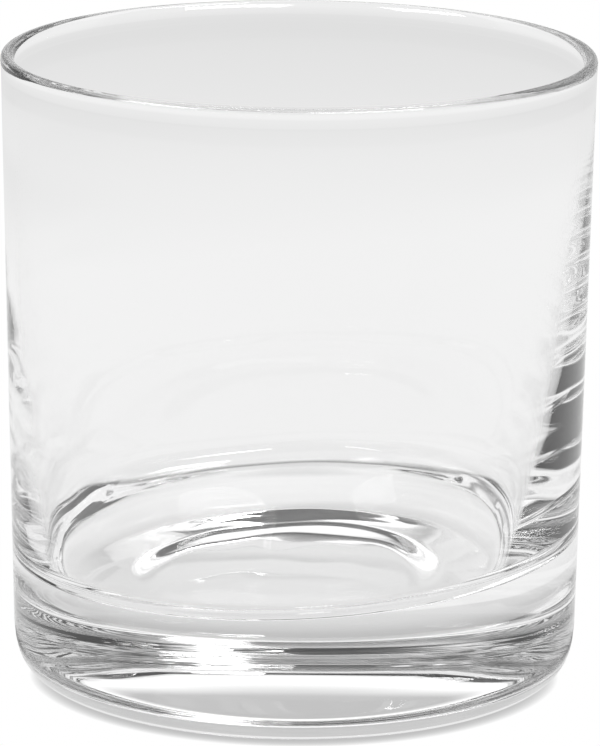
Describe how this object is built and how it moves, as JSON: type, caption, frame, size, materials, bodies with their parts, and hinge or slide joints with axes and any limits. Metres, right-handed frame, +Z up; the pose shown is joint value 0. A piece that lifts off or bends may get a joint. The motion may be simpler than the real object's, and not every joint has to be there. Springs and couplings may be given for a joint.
{
  "type": "whisky glass",
  "caption": "Clear glass tumbler with a slightly tapered wall, a rounded lip and a heavy rounded base, for drinking spirits.",
  "frame": {"origin": "centre of the foot, on the surface that the glass stands on", "axes": "+Z up along the axis of the glass; X and Y are free, because the glass is round"},
  "size_m": [0.0838, 0.0838, 0.09],
  "materials": {
    "clear_glass": "clear fire-polished soda-lime glass"
  },
  "bodies": {
    "root": {"tumbler": "clear_glass"}
  },
  "joints": []
}
